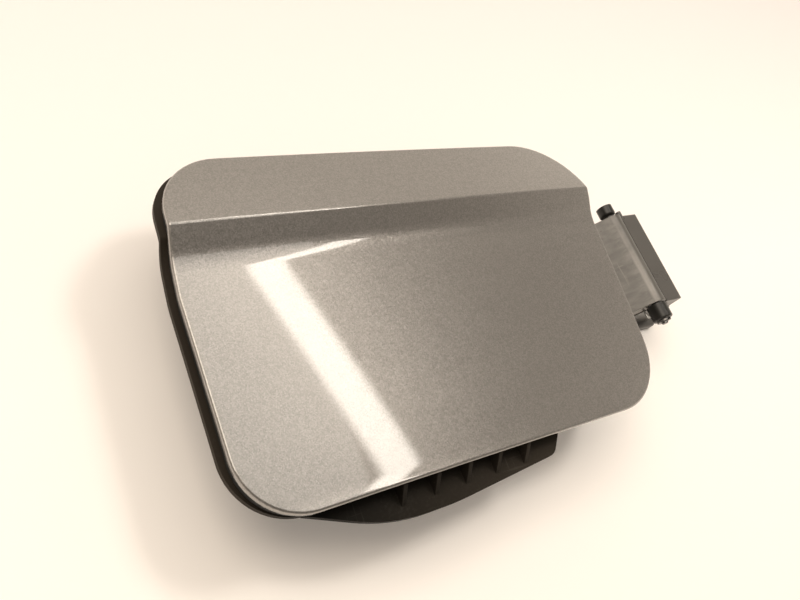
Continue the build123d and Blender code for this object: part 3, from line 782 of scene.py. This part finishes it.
def soft_rubber(finish):
    """Matt rubber with bloom and fine pores."""
    material, tree, surface, vector = start_material("soft_rubber")
    mould = place_group(tree, moulded_grain, Vector=vector, Scale=3400.0)
    settled = place_group(tree, settled_dust, Vector=vector, Amount=0.5)["Mask"]
    bloom = shaded(tree, mould["Unevenness"], finish.rubber, dark=0.8, light=1.7)
    feed(tree, surface.inputs["Base Color"], mix_colour(tree, settled, bloom, opaque(finish.rubber_dust)))
    rough = remap(tree, mould["Unevenness"], noise_low, noise_high, to_low=0.62, to_high=0.82)
    feed(tree, surface.inputs["Roughness"], rough)
    relief = bump(tree, mould["Height"], strength=0.5, distance=rubber_relief)
    feed(tree, surface.inputs["Normal"], relief)
    return material


def worked_metal(name, colour, roughness, tool_marks):
    """Metal with fine tool marks, stains and a few rubbed lines."""
    material, tree, surface, vector = start_material(name)
    marks = noise(tree, stretched(tree, vector, tool_marks), scale=1.0, detail=3.0, roughness=0.6)
    stains = noise(tree, vector, scale=160.0, detail=4.0, roughness=0.6)
    lines = place_group(tree, scuffs, Vector=vector, Amount=0.5)["Mask"]
    stained = shaded(tree, stains, colour, dark=0.62, light=1.25)
    feed(tree, surface.inputs["Base Color"], mix_colour(tree, lines, stained, opaque(colour, 1.5)))
    feed(tree, surface.inputs["Metallic"], 1.0)
    rough = remap(tree, stains, noise_low, noise_high, roughness * 0.75, roughness * 1.35)
    feed(tree, surface.inputs["Roughness"], rough)
    feed(tree, surface.inputs["Normal"], bump(tree, marks, strength=0.3, distance=tool_mark_relief))
    return material


def bearing_plastic(finish):
    """Natural bearing plastic, slightly waxy, greased grey in places."""
    material, tree, surface, vector = start_material("bearing_plastic")
    mould = place_group(tree, moulded_grain, Vector=vector, Scale=2600.0)
    grease = noise(tree, vector, scale=260.0, detail=4.0, roughness=0.6)
    smeared = mix_colour(
        tree, remap(tree, grease, low=0.52, high=0.7), opaque(finish.bearing), opaque(finish.grease))
    feed(tree, surface.inputs["Base Color"], smeared)
    rough = remap(tree, grease, low=0.4, high=0.7, to_low=0.5, to_high=0.22)
    feed(tree, surface.inputs["Roughness"], rough)
    relief = bump(tree, mould["Height"], strength=0.25, distance=mould_relief)
    feed(tree, surface.inputs["Normal"], relief)
    return material


def corner_arcs(sizes):
    """Corners of the panel's outline, each as the centre, radius, first angle and turn of its rounding."""
    left = sizes.right_x - sizes.panel_width
    corners = [
        (left, -sizes.panel_drop),
        (sizes.right_x - sizes.panel_drop * tan(sizes.right_lean), -sizes.panel_drop),
        (sizes.right_x + sizes.panel_rise * tan(sizes.right_lean), sizes.panel_rise),
        (left + (sizes.panel_rise - sizes.left_bend_height) * tan(sizes.left_lean), sizes.panel_rise),
        (left, sizes.left_bend_height),
    ]
    arcs = []
    for index, corner in enumerate(corners):
        before = (Vector(corners[index - 1]) - Vector(corner)).normalized()
        after = (Vector(corners[(index + 1) % len(corners)]) - Vector(corner)).normalized()
        radius = sizes.corner_radii[index]
        half = acos(before.dot(after)) / 2
        centre = Vector(corner) + (before + after).normalized() * (radius / sin(half))
        first = Vector(corner) + before * (radius / tan(half)) - centre
        last = Vector(corner) + after * (radius / tan(half)) - centre
        start = atan2(first.y, first.x)
        turn = (atan2(last.y, last.x) - start + pi) % (2 * pi) - pi
        arcs.append((centre, radius, start, turn))
    return arcs


def outline_points(arcs, inset):
    """Points along the outline, each with its outward direction."""
    points = []
    for centre, radius, start, turn in arcs:
        for step in range(corner_steps + 1):
            angle = start + turn * step / corner_steps
            outward = Vector((cos(angle), sin(angle)))
            points.append((centre + outward * (radius - inset), outward))
    return points


def outline_sides(points):
    """Each point of the outline with the one after it."""
    return zip(points, points[1:] + points[:1])


def outward_at(points, place):
    """Outward direction of the outline beside a place."""
    best, found = None, None
    for (first, one), (last, other) in outline_sides(points):
        run = last - first
        share = max(0.0, min(1.0, (place - first).dot(run) / run.length_squared))
        gap = (place - first - run * share).length_squared
        if best is None or gap < best:
            best, found = gap, one.lerp(other, share)
    return found.normalized()


def face_section(sizes):
    """Section of the painted face as pairs of height up the car and standing out."""
    heel = sizes.crease_height - sizes.hollow_width
    below = sizes.crease_step - sizes.heel_radius
    rise = atan2(below, sizes.hollow_width) + asin(sizes.heel_radius / hypot(sizes.hollow_width, below))
    low = -sizes.panel_drop - spare_below
    lip = -sizes.panel_drop + sizes.lip_width
    rows = [low + (lip - low) * step / lip_rows for step in range(lip_rows)]
    rows += [lip + (heel - lip) * step / face_rows for step in range(face_rows)]
    section = []
    for y in rows:
        flare = max(0.0, lip - y) ** 2 / (2 * sizes.lip_radius)
        section.append((y, sqrt(sizes.belly_radius**2 - (heel - y) ** 2) - sizes.belly_radius + flare))
    for step in range(heel_rows + 1):
        turn = rise * step / heel_rows
        section.append((heel + sizes.heel_radius * sin(turn), sizes.heel_radius * (1 - cos(turn))))
    fall = atan(sizes.brow_fall)
    tangent = sizes.crease_radius * tan((rise + fall) / 2)
    ramp_y, ramp_z = section[-1]
    crest_y = sizes.crease_height - tangent * cos(rise)
    crest_z = sizes.crease_step - tangent * sin(rise)
    for step in range(1, ramp_rows + 1):
        share = step / ramp_rows
        section.append((ramp_y + (crest_y - ramp_y) * share, ramp_z + (crest_z - ramp_z) * share))
    for step in range(1, crest_rows + 1):
        turn = rise - (rise + fall) * step / crest_rows
        section.append((
            crest_y + sizes.crease_radius * (sin(rise) - sin(turn)),
            crest_z + sizes.crease_radius * (cos(turn) - cos(rise)),
        ))
    brow_y, brow_z = section[-1]
    high = sizes.panel_rise + spare_above
    for step in range(1, brow_rows + 1):
        y = brow_y + (high - brow_y) * step / brow_rows
        section.append((y, brow_z - sizes.brow_fall * (y - brow_y)))
    return section


def crowned_sheet(sizes):
    """The section of the face, spun along the car about the crown's far centre."""
    middle = sizes.right_x - sizes.panel_width / 2
    reach = asin((sizes.panel_width / 2 + spare_aside) / sizes.crown_radius)
    centre = (middle, 0, sizes.face_height - sizes.crown_radius)
    work = bmesh.new()
    chain = [work.verts.new((middle, y, sizes.face_height + z)) for y, z in face_section(sizes)]
    for first, last in zip(chain, chain[1:]):
        work.edges.new((first, last))
    bmesh.ops.rotate(work, verts=work.verts, cent=centre, matrix=Matrix.Rotation(-reach, 3, "Y"))
    bmesh.ops.spin(
        work, geom=work.verts[:] + work.edges[:], cent=centre, axis=(0, 1, 0), dvec=(0, 0, 0),
        angle=2 * reach, steps=sizes.crown_steps, use_merge=False)
    return work


def trim_sheet(work, points):
    """Cuts the sheet along each side of the outline."""
    for (first, _), (last, _) in outline_sides(points):
        run = last - first
        if run.length < trim_tolerance:
            continue
        bmesh.ops.bisect_plane(
            work, geom=work.verts[:] + work.edges[:] + work.faces[:], dist=trim_tolerance,
            plane_co=(first.x, first.y, 0), plane_no=(run.y, -run.x, 0), clear_outer=True)
    bmesh.ops.remove_doubles(work, verts=work.verts, dist=skin_merge)
    bmesh.ops.recalc_face_normals(work, faces=work.faces)


def turn_down_hem(work, sizes, points):
    """Bends the sheet's edge down and lengthens it to the depth of the hem."""
    rim = open_edges(work)
    turned = 0.0
    for step in range(1, hem_steps + 1):
        angle = pi / 2 * step / hem_steps
        made = bmesh.ops.extrude_edge_only(work, edges=rim)["geom"]
        rim = edges_of(made)
        out = sizes.hem_radius * (sin(angle) - sin(turned))
        down = sizes.hem_radius * (cos(angle) - cos(turned))
        for vert in verts_of(made):
            side = outward_at(points, vert.co.xy)
            vert.co += Vector((side.x * out, side.y * out, down))
        turned = angle
    made = bmesh.ops.extrude_edge_only(work, edges=rim)["geom"]
    bmesh.ops.translate(work, verts=verts_of(made), vec=(0, 0, sizes.hem_radius - sizes.hem_depth))
    bmesh.ops.recalc_face_normals(work, faces=work.faces)
    if sum(face.normal.z * face.calc_area() for face in work.faces) < 0:
        bmesh.ops.reverse_faces(work, faces=work.faces)


class FUELDOOR_OT_painted_skin(bpy.types.Operator):
    """Press the painted skin: spin its section, trim it to the outline and turn its edge down"""

    bl_idname = "fuel_door.painted_skin"
    bl_label = "Painted Skin"

    def execute(self, context):
        sizes = context.scene.skin_settings
        work = crowned_sheet(sizes)
        points = outline_points(corner_arcs(sizes), sizes.hem_radius)
        trim_sheet(work, points)
        turn_down_hem(work, sizes, points)
        finish = context.scene.finish_settings
        piece = place_piece(work, "painted_skin", "door", flake_paint(finish))
        wall = piece.modifiers.new("sheet", "SOLIDIFY")
        wall.thickness = sizes.skin_thickness
        wall.offset = -1.0
        wall.use_even_offset = True
        even = piece.modifiers.new("even_shading", "WEIGHTED_NORMAL")
        even.weight = 100
        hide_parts("outer_panel")
        return {"FINISHED"}


def wire_ring(sizes, turn):
    """Round section of the wire at the coil's radius, turned about the direction of the pin."""
    work = bmesh.new()
    bmesh.ops.create_circle(work, cap_ends=False, radius=sizes.wire_radius, segments=wire_sides)
    bmesh.ops.rotate(work, verts=work.verts, cent=(0, 0, 0), matrix=Matrix.Rotation(turn, 3, "Y"))
    bmesh.ops.translate(work, verts=work.verts, vec=(sizes.coil_radius, 0, 0))
    return work


def seat_wire(work, sizes):
    """Closes the wire's ends and puts it on the pin."""
    bmesh.ops.holes_fill(work, edges=open_edges(work), sides=0)
    bmesh.ops.translate(work, verts=work.verts, vec=(pivot.x, sizes.coil_start, pivot.z))
    bmesh.ops.recalc_face_normals(work, faces=work.faces)


def coil_and_leg(sizes, to_start):
    """Coil round the pin, with the straight leg that rests on the base's post."""
    work = wire_ring(sizes, 0.0)
    made = bmesh.ops.spin(
        work, geom=work.verts[:] + work.edges[:], cent=(0, 0, 0), axis=(0, 1, 0), use_merge=False,
        dvec=(0, sizes.coil_room / coil_steps, 0), angle=-2 * pi * sizes.coil_turns, steps=coil_steps)
    last_ring = edges_of(made["geom_last"])
    bmesh.ops.rotate(work, verts=work.verts, cent=(0, 0, 0), matrix=to_start)
    leg = bmesh.ops.extrude_edge_only(work, edges=last_ring)["geom"]
    leg_rise = sizes.leg_length * sizes.coil_room / (2 * pi * sizes.coil_radius * sizes.coil_turns)
    bmesh.ops.translate(work, verts=verts_of(leg), vec=(sizes.leg_length, leg_rise, 0))
    seat_wire(work, sizes)
    return work


def cheek_end(sizes, to_start):
    """End of the wire that leaves the coil outwards and bends along the pin into the arm's cheek."""
    work = wire_ring(sizes, radians(90))
    outward = bmesh.ops.extrude_edge_only(work, edges=work.edges[:])["geom"]
    bend_start = sizes.cheek_radius - sizes.cheek_bend
    bmesh.ops.translate(work, verts=verts_of(outward), vec=(bend_start - sizes.coil_radius, 0, 0))
    bent = bmesh.ops.spin(
        work, geom=verts_of(outward) + edges_of(outward), cent=(bend_start, sizes.cheek_bend, 0),
        axis=(0, 0, 1), dvec=(0, 0, 0), angle=radians(90), steps=wire_bend_steps, use_merge=False)
    along = bmesh.ops.extrude_edge_only(work, edges=edges_of(bent["geom_last"]))["geom"]
    bmesh.ops.translate(work, verts=verts_of(along), vec=(0, sizes.cheek_reach - sizes.cheek_bend, 0))
    bmesh.ops.remove_doubles(work, verts=work.verts, dist=wire_merge)
    bmesh.ops.rotate(work, verts=work.verts, cent=(0, 0, 0), matrix=to_start)
    seat_wire(work, sizes)
    return work


class FUELDOOR_OT_torsion_spring(bpy.types.Operator):
    """Wind the torsion spring: its coil and leg stay with the base, its turned end goes with the arm"""

    bl_idname = "fuel_door.torsion_spring"
    bl_label = "Torsion Spring"

    def execute(self, context):
        sizes = context.scene.spring_settings
        finish = context.scene.finish_settings
        wire = worked_metal("spring_wire", finish.wire, roughness=0.36, tool_marks=(300.0, 1800.0, 300.0))
        to_start = Matrix.Rotation(-sizes.start_angle, 3, "Y")
        coil = place_piece(coil_and_leg(sizes, to_start), "spring_coil", "base", wire)
        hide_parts("torsion_spring")
        end = place_piece(cheek_end(sizes, to_start), "spring_cheek_end", "door", wire)
        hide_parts("torsion_spring")
        return {"FINISHED"}


class FUELDOOR_OT_black_mouldings(bpy.types.Operator):
    """Finish the black mouldings: carrier, striker, pin cap and spring spool"""

    bl_idname = "fuel_door.black_mouldings"
    bl_label = "Black Mouldings"

    def execute(self, context):
        finish = context.scene.finish_settings
        # The carrier is drawn paler towards its ends: painted light
        carrier = moulded_plastic(
            "carrier_black", finish.carrier, finish, roughness=0.52, grain=2000.0, edge=0.0004,
            wear=0.05, dust=0.03, shine=0.07, faded=True)
        striker = moulded_plastic(
            "striker_black", finish.carrier, finish, roughness=0.4, grain=2400.0, edge=0.0003,
            wear=0.2, dust=0.08)
        pivot_pieces = moulded_plastic(
            "pivot_black", finish.pivot_black, finish, roughness=0.36, grain=2800.0, edge=0.00025,
            wear=0.2, dust=0.06)
        dress(carrier, "inner_carrier")
        dress(striker, "latch_striker")
        dress(pivot_pieces, "pin_cap", "spring_spool")
        return {"FINISHED"}


class FUELDOOR_OT_hinge_mouldings(bpy.types.Operator):
    """Finish the grey hinge mouldings: arm and base"""

    bl_idname = "fuel_door.hinge_mouldings"
    bl_label = "Hinge Mouldings"

    def execute(self, context):
        finish = context.scene.finish_settings
        # The arm gets a painted highlight along its ridge and painted sheen on its ramp
        arm = moulded_plastic(
            "arm_grey", finish.arm_grey, finish, roughness=0.32, grain=2600.0, edge=0.00035,
            wear=0.4, dust=0.05, rubbed=0.5)
        base = moulded_plastic(
            "base_grey", finish.base_grey, finish, roughness=0.3, grain=2400.0, edge=0.0004,
            wear=0.2, dust=0.05)
        dress(arm, "hinge_arm")
        dress(base, "hinge_base")
        return {"FINISHED"}


class FUELDOOR_OT_rubber_pieces(bpy.types.Operator):
    """Finish the rubber strip and the buffers"""

    bl_idname = "fuel_door.rubber_pieces"
    bl_label = "Rubber Pieces"

    def execute(self, context):
        dress(soft_rubber(context.scene.finish_settings), "edge_seal", "bump_stops")
        return {"FINISHED"}


class FUELDOOR_OT_bearings(bpy.types.Operator):
    """Finish the bushes and washers on the pin"""

    bl_idname = "fuel_door.bearings"
    bl_label = "Bearings"

    def execute(self, context):
        dress(bearing_plastic(context.scene.finish_settings), "pivot_bushes", "thrust_washers")
        return {"FINISHED"}


class FUELDOOR_OT_metal_hardware(bpy.types.Operator):
    """Finish the screws, inserts, pin and clip"""

    bl_idname = "fuel_door.metal_hardware"
    bl_label = "Metal Hardware"

    def execute(self, context):
        finish = context.scene.finish_settings
        zinc = worked_metal("zinc_plate", finish.zinc, roughness=0.32, tool_marks=(900.0, 900.0, 2600.0))
        brass = worked_metal("turned_brass", finish.brass, roughness=0.3, tool_marks=(700.0, 700.0, 3200.0))
        pin = worked_metal("ground_pin", finish.steel, roughness=0.22, tool_marks=(400.0, 3000.0, 400.0))
        clip = worked_metal("clip_steel", finish.steel, roughness=0.34, tool_marks=(1600.0, 1600.0, 1600.0))
        dress(zinc, "arm_screws", "striker_screws")
        dress(brass, "boss_inserts", "base_inserts")
        dress(pin, "hinge_pin")
        dress(clip, "retaining_clip")
        return {"FINISHED"}


def add_lamp(name, place, turn, size, power, colour):
    """A rectangular lamp that shines along its own -Z."""
    lamp = bpy.data.lights.new(name, "AREA")
    lamp.shape = "RECTANGLE"
    lamp.size, lamp.size_y = size
    lamp.energy = power
    lamp.color = colour
    holder = bpy.data.objects.new(name, lamp)
    holder.location = place
    holder.rotation_euler = turn
    bpy.context.scene.collection.objects.link(holder)
    return holder


def stage_sheet(work, name):
    """An object of the stage, made of a finished bmesh."""
    mesh = bpy.data.meshes.new(name)
    work.to_mesh(mesh)
    work.free()
    sheet = bpy.data.objects.new(name, mesh)
    bpy.context.scene.collection.objects.link(sheet)
    return sheet


def table_top(stage):
    """Pale table top that the camera and reflections see a little whiter than its light makes it."""
    work = bmesh.new()
    bmesh.ops.create_grid(work, x_segments=2, y_segments=2, size=stage.floor_size / 2)
    bmesh.ops.translate(work, verts=work.verts, vec=(0, 0, cad_box[0].z - stage.floor_gap))
    table = stage_sheet(work, "table_top")
    material, tree, surface, vector = start_material("table_top")
    clouded = shaded(tree, noise(tree, vector, scale=2.5), stage.floor, dark=0.985, light=1.01)
    # Painted shade: darker towards the far side of the table top
    distance = remap(tree, split(tree, vector)["Y"], *stage.floor_change)
    feed(tree, surface.inputs["Base Color"], mix_colour(tree, distance, clouded, opaque(stage.floor_far)))
    feed(tree, surface.inputs["Roughness"], 0.6)
    feed(tree, surface.inputs["Specular IOR Level"], 0.2)
    path = tree.nodes.new("ShaderNodeLightPath").outputs
    seen = calculate(tree, "MAXIMUM", path["Is Camera Ray"], path["Is Glossy Ray"])
    seen = calculate(tree, "MAXIMUM", seen, path["Is Transmission Ray"])
    feed(tree, surface.inputs["Emission Color"], opaque(stage.floor))
    feed(tree, surface.inputs["Emission Strength"], calculate(tree, "MULTIPLY", seen, stage.floor_lift))
    table.data.materials.append(material)


def strip_lamp(stage):
    """Narrow lamp with soft sides, whose reflection lies across the painted face."""
    work = bmesh.new()
    bmesh.ops.create_grid(work, x_segments=2, y_segments=2, size=1.0)
    bmesh.ops.scale(work, verts=work.verts, vec=(stage.strip_half_width, -stage.strip_half_length, 1))
    bmesh.ops.reverse_faces(work, faces=work.faces)
    lamp = stage_sheet(work, "strip_lamp")
    lamp.location = stage.strip_place
    lamp.rotation_euler = (0, 0, stage.strip_turn)
    material = bpy.data.materials.new("strip_lamp")
    material.use_nodes = True
    tree = material.node_tree
    tree.nodes.clear()
    output = tree.nodes.new("ShaderNodeOutputMaterial")
    coords = tree.nodes.new("ShaderNodeTexCoord")
    across = calculate(tree, "ABSOLUTE", split(tree, coords.outputs["Object"])["X"])
    inner = stage.strip_half_width - stage.strip_softness
    soft = remap(tree, across, stage.strip_half_width, inner, smooth=True)
    glow = tree.nodes.new("ShaderNodeEmission")
    feed(tree, glow.inputs["Color"], opaque(stage.strip_tint))
    feed(tree, glow.inputs["Strength"], stage.strip_level)
    clear = tree.nodes.new("ShaderNodeBsdfTransparent")
    fade = tree.nodes.new("ShaderNodeMixShader")
    feed(tree, fade.inputs[0], soft)
    feed(tree, fade.inputs[1], clear.outputs["BSDF"])
    feed(tree, fade.inputs[2], glow.outputs["Emission"])
    feed(tree, output.inputs["Surface"], fade.outputs["Shader"])
    lamp.data.materials.append(material)


def room_light(room):
    """Room walls: dim behind the camera, brighter towards the hinge and brightest beyond the top edge."""
    world = bpy.data.worlds.new("room")
    bpy.context.scene.world = world
    world.use_nodes = True
    tree = world.node_tree
    coords = tree.nodes.new("ShaderNodeTexCoord")
    towards = split(tree, coords.outputs["Generated"])
    near = remap(tree, towards["Y"], *room.corner_near, 0.0, room.corner, smooth=True)
    right = remap(tree, towards["X"], *room.corner_side, smooth=True)
    level = remap(tree, towards["Y"], *room.dim_change, room.dim, room.middle, smooth=True)
    for added in (
        remap(tree, towards["Y"], *room.bright_change, 0.0, room.bright - room.middle, smooth=True),
        remap(tree, towards["X"], *room.side_change, 0.0, room.side - room.middle, smooth=True),
        remap(tree, towards["Z"], *room.low_change, 0.0, room.low, smooth=True),
        calculate(tree, "MULTIPLY", near, right),
    ):
        level = calculate(tree, "ADD", level, added)
    back = tree.nodes["Background"]
    feed(tree, back.inputs["Color"], opaque(room.colour))
    feed(tree, back.inputs["Strength"], level)


def photo_camera(stage):
    """Camera at the place and with the lens of the picture of the door."""
    camera = bpy.data.cameras.new("photo_camera")
    camera.lens = stage.camera_lens
    camera.sensor_width = 36.0
    camera.clip_start = 0.01
    holder = bpy.data.objects.new("photo_camera", camera)
    right = Vector(stage.camera_right)
    up = Vector(stage.camera_up)
    turn = Matrix((right, up, right.cross(up))).transposed().to_4x4()
    holder.matrix_world = Matrix.Translation(stage.camera_place) @ turn
    bpy.context.scene.collection.objects.link(holder)
    bpy.context.scene.camera = holder


class FUELDOOR_OT_stage(bpy.types.Operator):
    """Set the stage: pale table top, soft lamps, room light and the camera"""

    bl_idname = "fuel_door.stage"
    bl_label = "Stage"

    def execute(self, context):
        stage = context.scene.stage_settings
        room = context.scene.room_settings
        level = (0, 0, 0)
        table_top(stage)
        strip_lamp(stage)
        add_lamp("overhead_lamp", stage.overhead_place, level, stage.overhead_size,
                 stage.overhead_power, stage.lamp)
        add_lamp("left_lamp", stage.left_place, level, stage.left_size, stage.left_power, room.colour)
        key = add_lamp("key_lamp", stage.key_place, stage.key_turn, stage.key_size,
                       stage.key_power, stage.lamp)
        key.visible_glossy = False
        room_light(room)
        photo_camera(stage)
        context.scene.view_settings.view_transform = "Standard"
        return {"FINISHED"}


operator_classes = (
    FUELDOOR_OT_painted_skin,
    FUELDOOR_OT_torsion_spring,
    FUELDOOR_OT_black_mouldings,
    FUELDOOR_OT_hinge_mouldings,
    FUELDOOR_OT_rubber_pieces,
    FUELDOOR_OT_bearings,
    FUELDOOR_OT_metal_hardware,
    FUELDOOR_OT_stage,
)


class FUELDOOR_PT_panel(bpy.types.Panel):
    """Lists the steps that dress the fuel door"""

    bl_label = "Fuel Door"
    bl_idname = "FUELDOOR_PT_panel"
    bl_space_type = "VIEW_3D"
    bl_region_type = "UI"
    bl_category = "Fuel Door"

    def draw(self, context):
        for operator in operator_classes:
            self.layout.operator(operator.bl_idname)


def register():
    """Registers the settings, the operators and the panel."""
    for entry in (*settings_classes, *operator_classes, FUELDOOR_PT_panel):
        bpy.utils.register_class(entry)
    bpy.types.Scene.skin_settings = PointerProperty(type=SkinSettings)
    bpy.types.Scene.spring_settings = PointerProperty(type=SpringSettings)
    bpy.types.Scene.finish_settings = PointerProperty(type=FinishSettings)
    bpy.types.Scene.stage_settings = PointerProperty(type=StageSettings)
    bpy.types.Scene.room_settings = PointerProperty(type=RoomSettings)


def unregister():
    """Takes away what register added."""
    del bpy.types.Scene.room_settings
    del bpy.types.Scene.stage_settings
    del bpy.types.Scene.finish_settings
    del bpy.types.Scene.spring_settings
    del bpy.types.Scene.skin_settings
    for entry in reversed((*settings_classes, *operator_classes, FUELDOOR_PT_panel)):
        bpy.utils.unregister_class(entry)


def main():
    """Makes the door and its stage."""
    register()
    bpy.ops.fuel_door.painted_skin()
    bpy.ops.fuel_door.torsion_spring()
    bpy.ops.fuel_door.black_mouldings()
    bpy.ops.fuel_door.hinge_mouldings()
    bpy.ops.fuel_door.rubber_pieces()
    bpy.ops.fuel_door.bearings()
    bpy.ops.fuel_door.metal_hardware()
    bpy.ops.fuel_door.stage()


if __name__ == "__main__":
    main()
